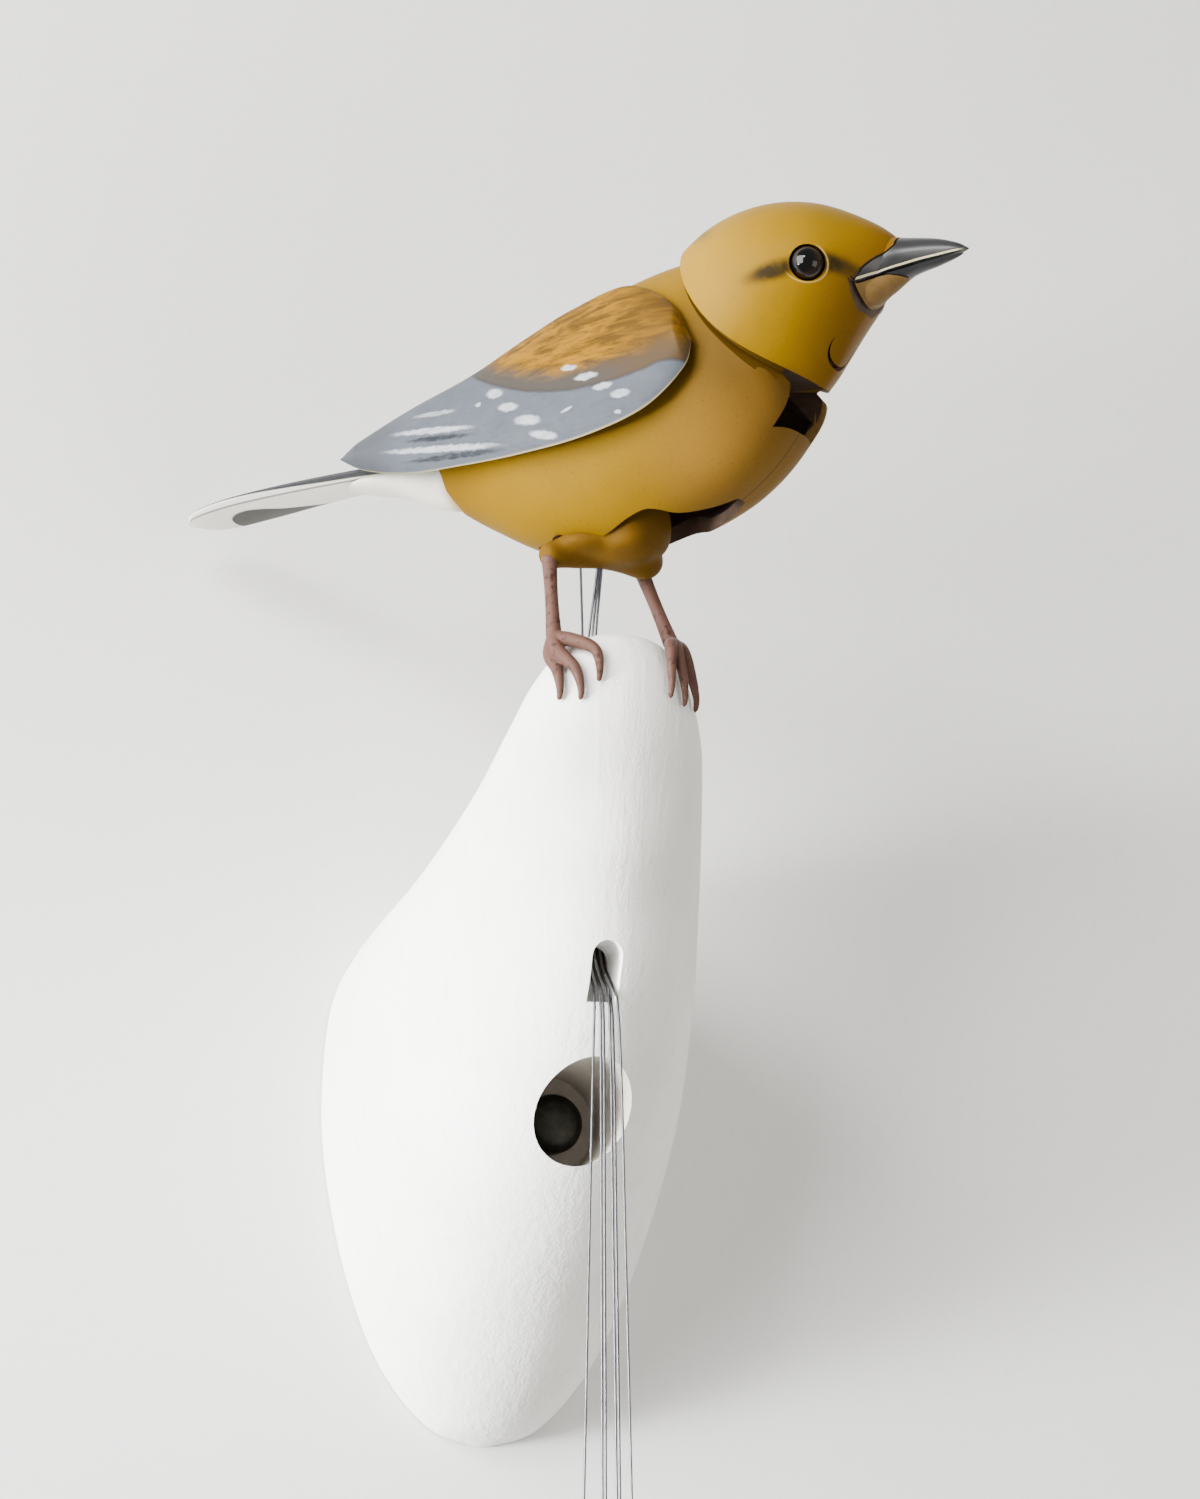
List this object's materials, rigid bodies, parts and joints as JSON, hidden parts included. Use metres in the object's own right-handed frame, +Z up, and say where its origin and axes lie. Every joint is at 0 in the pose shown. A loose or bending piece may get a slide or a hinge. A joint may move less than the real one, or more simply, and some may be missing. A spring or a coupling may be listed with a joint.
{
  "type": "articulated bird figure",
  "caption": "Life-size articulated songbird with a nodding head, opening bill, lifting wings and tail, standing on a smooth wall bracket with control wires hanging from a slot",
  "frame": {"origin": "on the wall plane, at the middle of the bracket's flat back", "axes": "X to the viewer's right along the wall, Y into the wall, Z up; the viewer is on the -Y side and the bird faces +X and -Y"},
  "size_m": [0.0956, 0.1074, 0.2175],
  "materials": {
    "perch": "matt white paint with fine vertical brush marks",
    "fixing_bolt": "dark blackened steel",
    "hip_block": "yellow-brown satin paint",
    "leg": "pink-brown paint with dark mottling",
    "body": "satin ochre-yellow paint with fine airbrushed grain",
    "head": "satin ochre-yellow paint, paler on the cheek",
    "bill": "slate-black satin paint",
    "chin": "tan-yellow satin paint",
    "eye": "glossy black-brown bead",
    "wing": "blue-grey satin paint with an olive mantle and white brush marks",
    "tail": "grey paint with white edges",
    "coverts": "off-white paint",
    "wire": "thin grey control wire"
  },
  "bodies": {
    "stand": {"perch": "perch", "fixing_bolt": "fixing_bolt", "hip_block": "hip_block", "leg_near": "leg", "leg_far": "leg", "wire_1": "wire", "wire_2": "wire", "wire_3": "wire", "wire_4": "wire", "wire_5": "wire", "wire_6": "wire", "wire_end_1": "wire", "wire_end_2": "wire", "wire_end_3": "wire", "wire_end_4": "wire", "wire_end_5": "wire", "wire_end_6": "wire"},
    "body": {"body": "body"},
    "head": {"head": "head", "upper_bill": "bill", "throat_button": "chin", "eye_near": "eye", "eye_far": "eye"},
    "jaw": {"lower_bill": "bill", "chin_piece": "chin"},
    "wing_near": {"wing_near": "wing"},
    "wing_far": {"wing_far": "wing"},
    "tail": {"tail": "tail", "tail_coverts": "coverts"}
  },
  "joints": [
    {"name": "body_tilt", "type": "hinge", "parent": "stand", "child": "body", "pos_m": [-0.00223, -0.06107, 0.0786], "axis": [0.7314, 0.682, 0], "range_deg": [-4, 4]},
    {"name": "head_nod", "type": "hinge", "parent": "body", "child": "head", "pos_m": [0.0168, -0.08148, 0.1117], "axis": [0.7314, 0.682, 0], "range_deg": [-5, 5]},
    {"name": "bill_open", "type": "hinge", "parent": "head", "child": "jaw", "pos_m": [0.02983, -0.09545, 0.1138], "axis": [0.7314, 0.682, 0], "range_deg": [0, 12]},
    {"name": "wing_near_lift", "type": "hinge", "parent": "body", "child": "wing_near", "pos_m": [-0.01168, -0.06442, 0.1124], "axis": [-0.5431, 0.7857, -0.2961], "range_deg": [0, 25]},
    {"name": "wing_far_lift", "type": "hinge", "parent": "body", "child": "wing_far", "pos_m": [0.00177, -0.05187, 0.1124], "axis": [0.7459, -0.5966, 0.2961], "range_deg": [0, 25]},
    {"name": "tail_pitch", "type": "hinge", "parent": "body", "child": "tail", "pos_m": [-0.01621, -0.04608, 0.093], "axis": [0.7314, 0.682, 0], "range_deg": [-6, 6]}
  ]
}
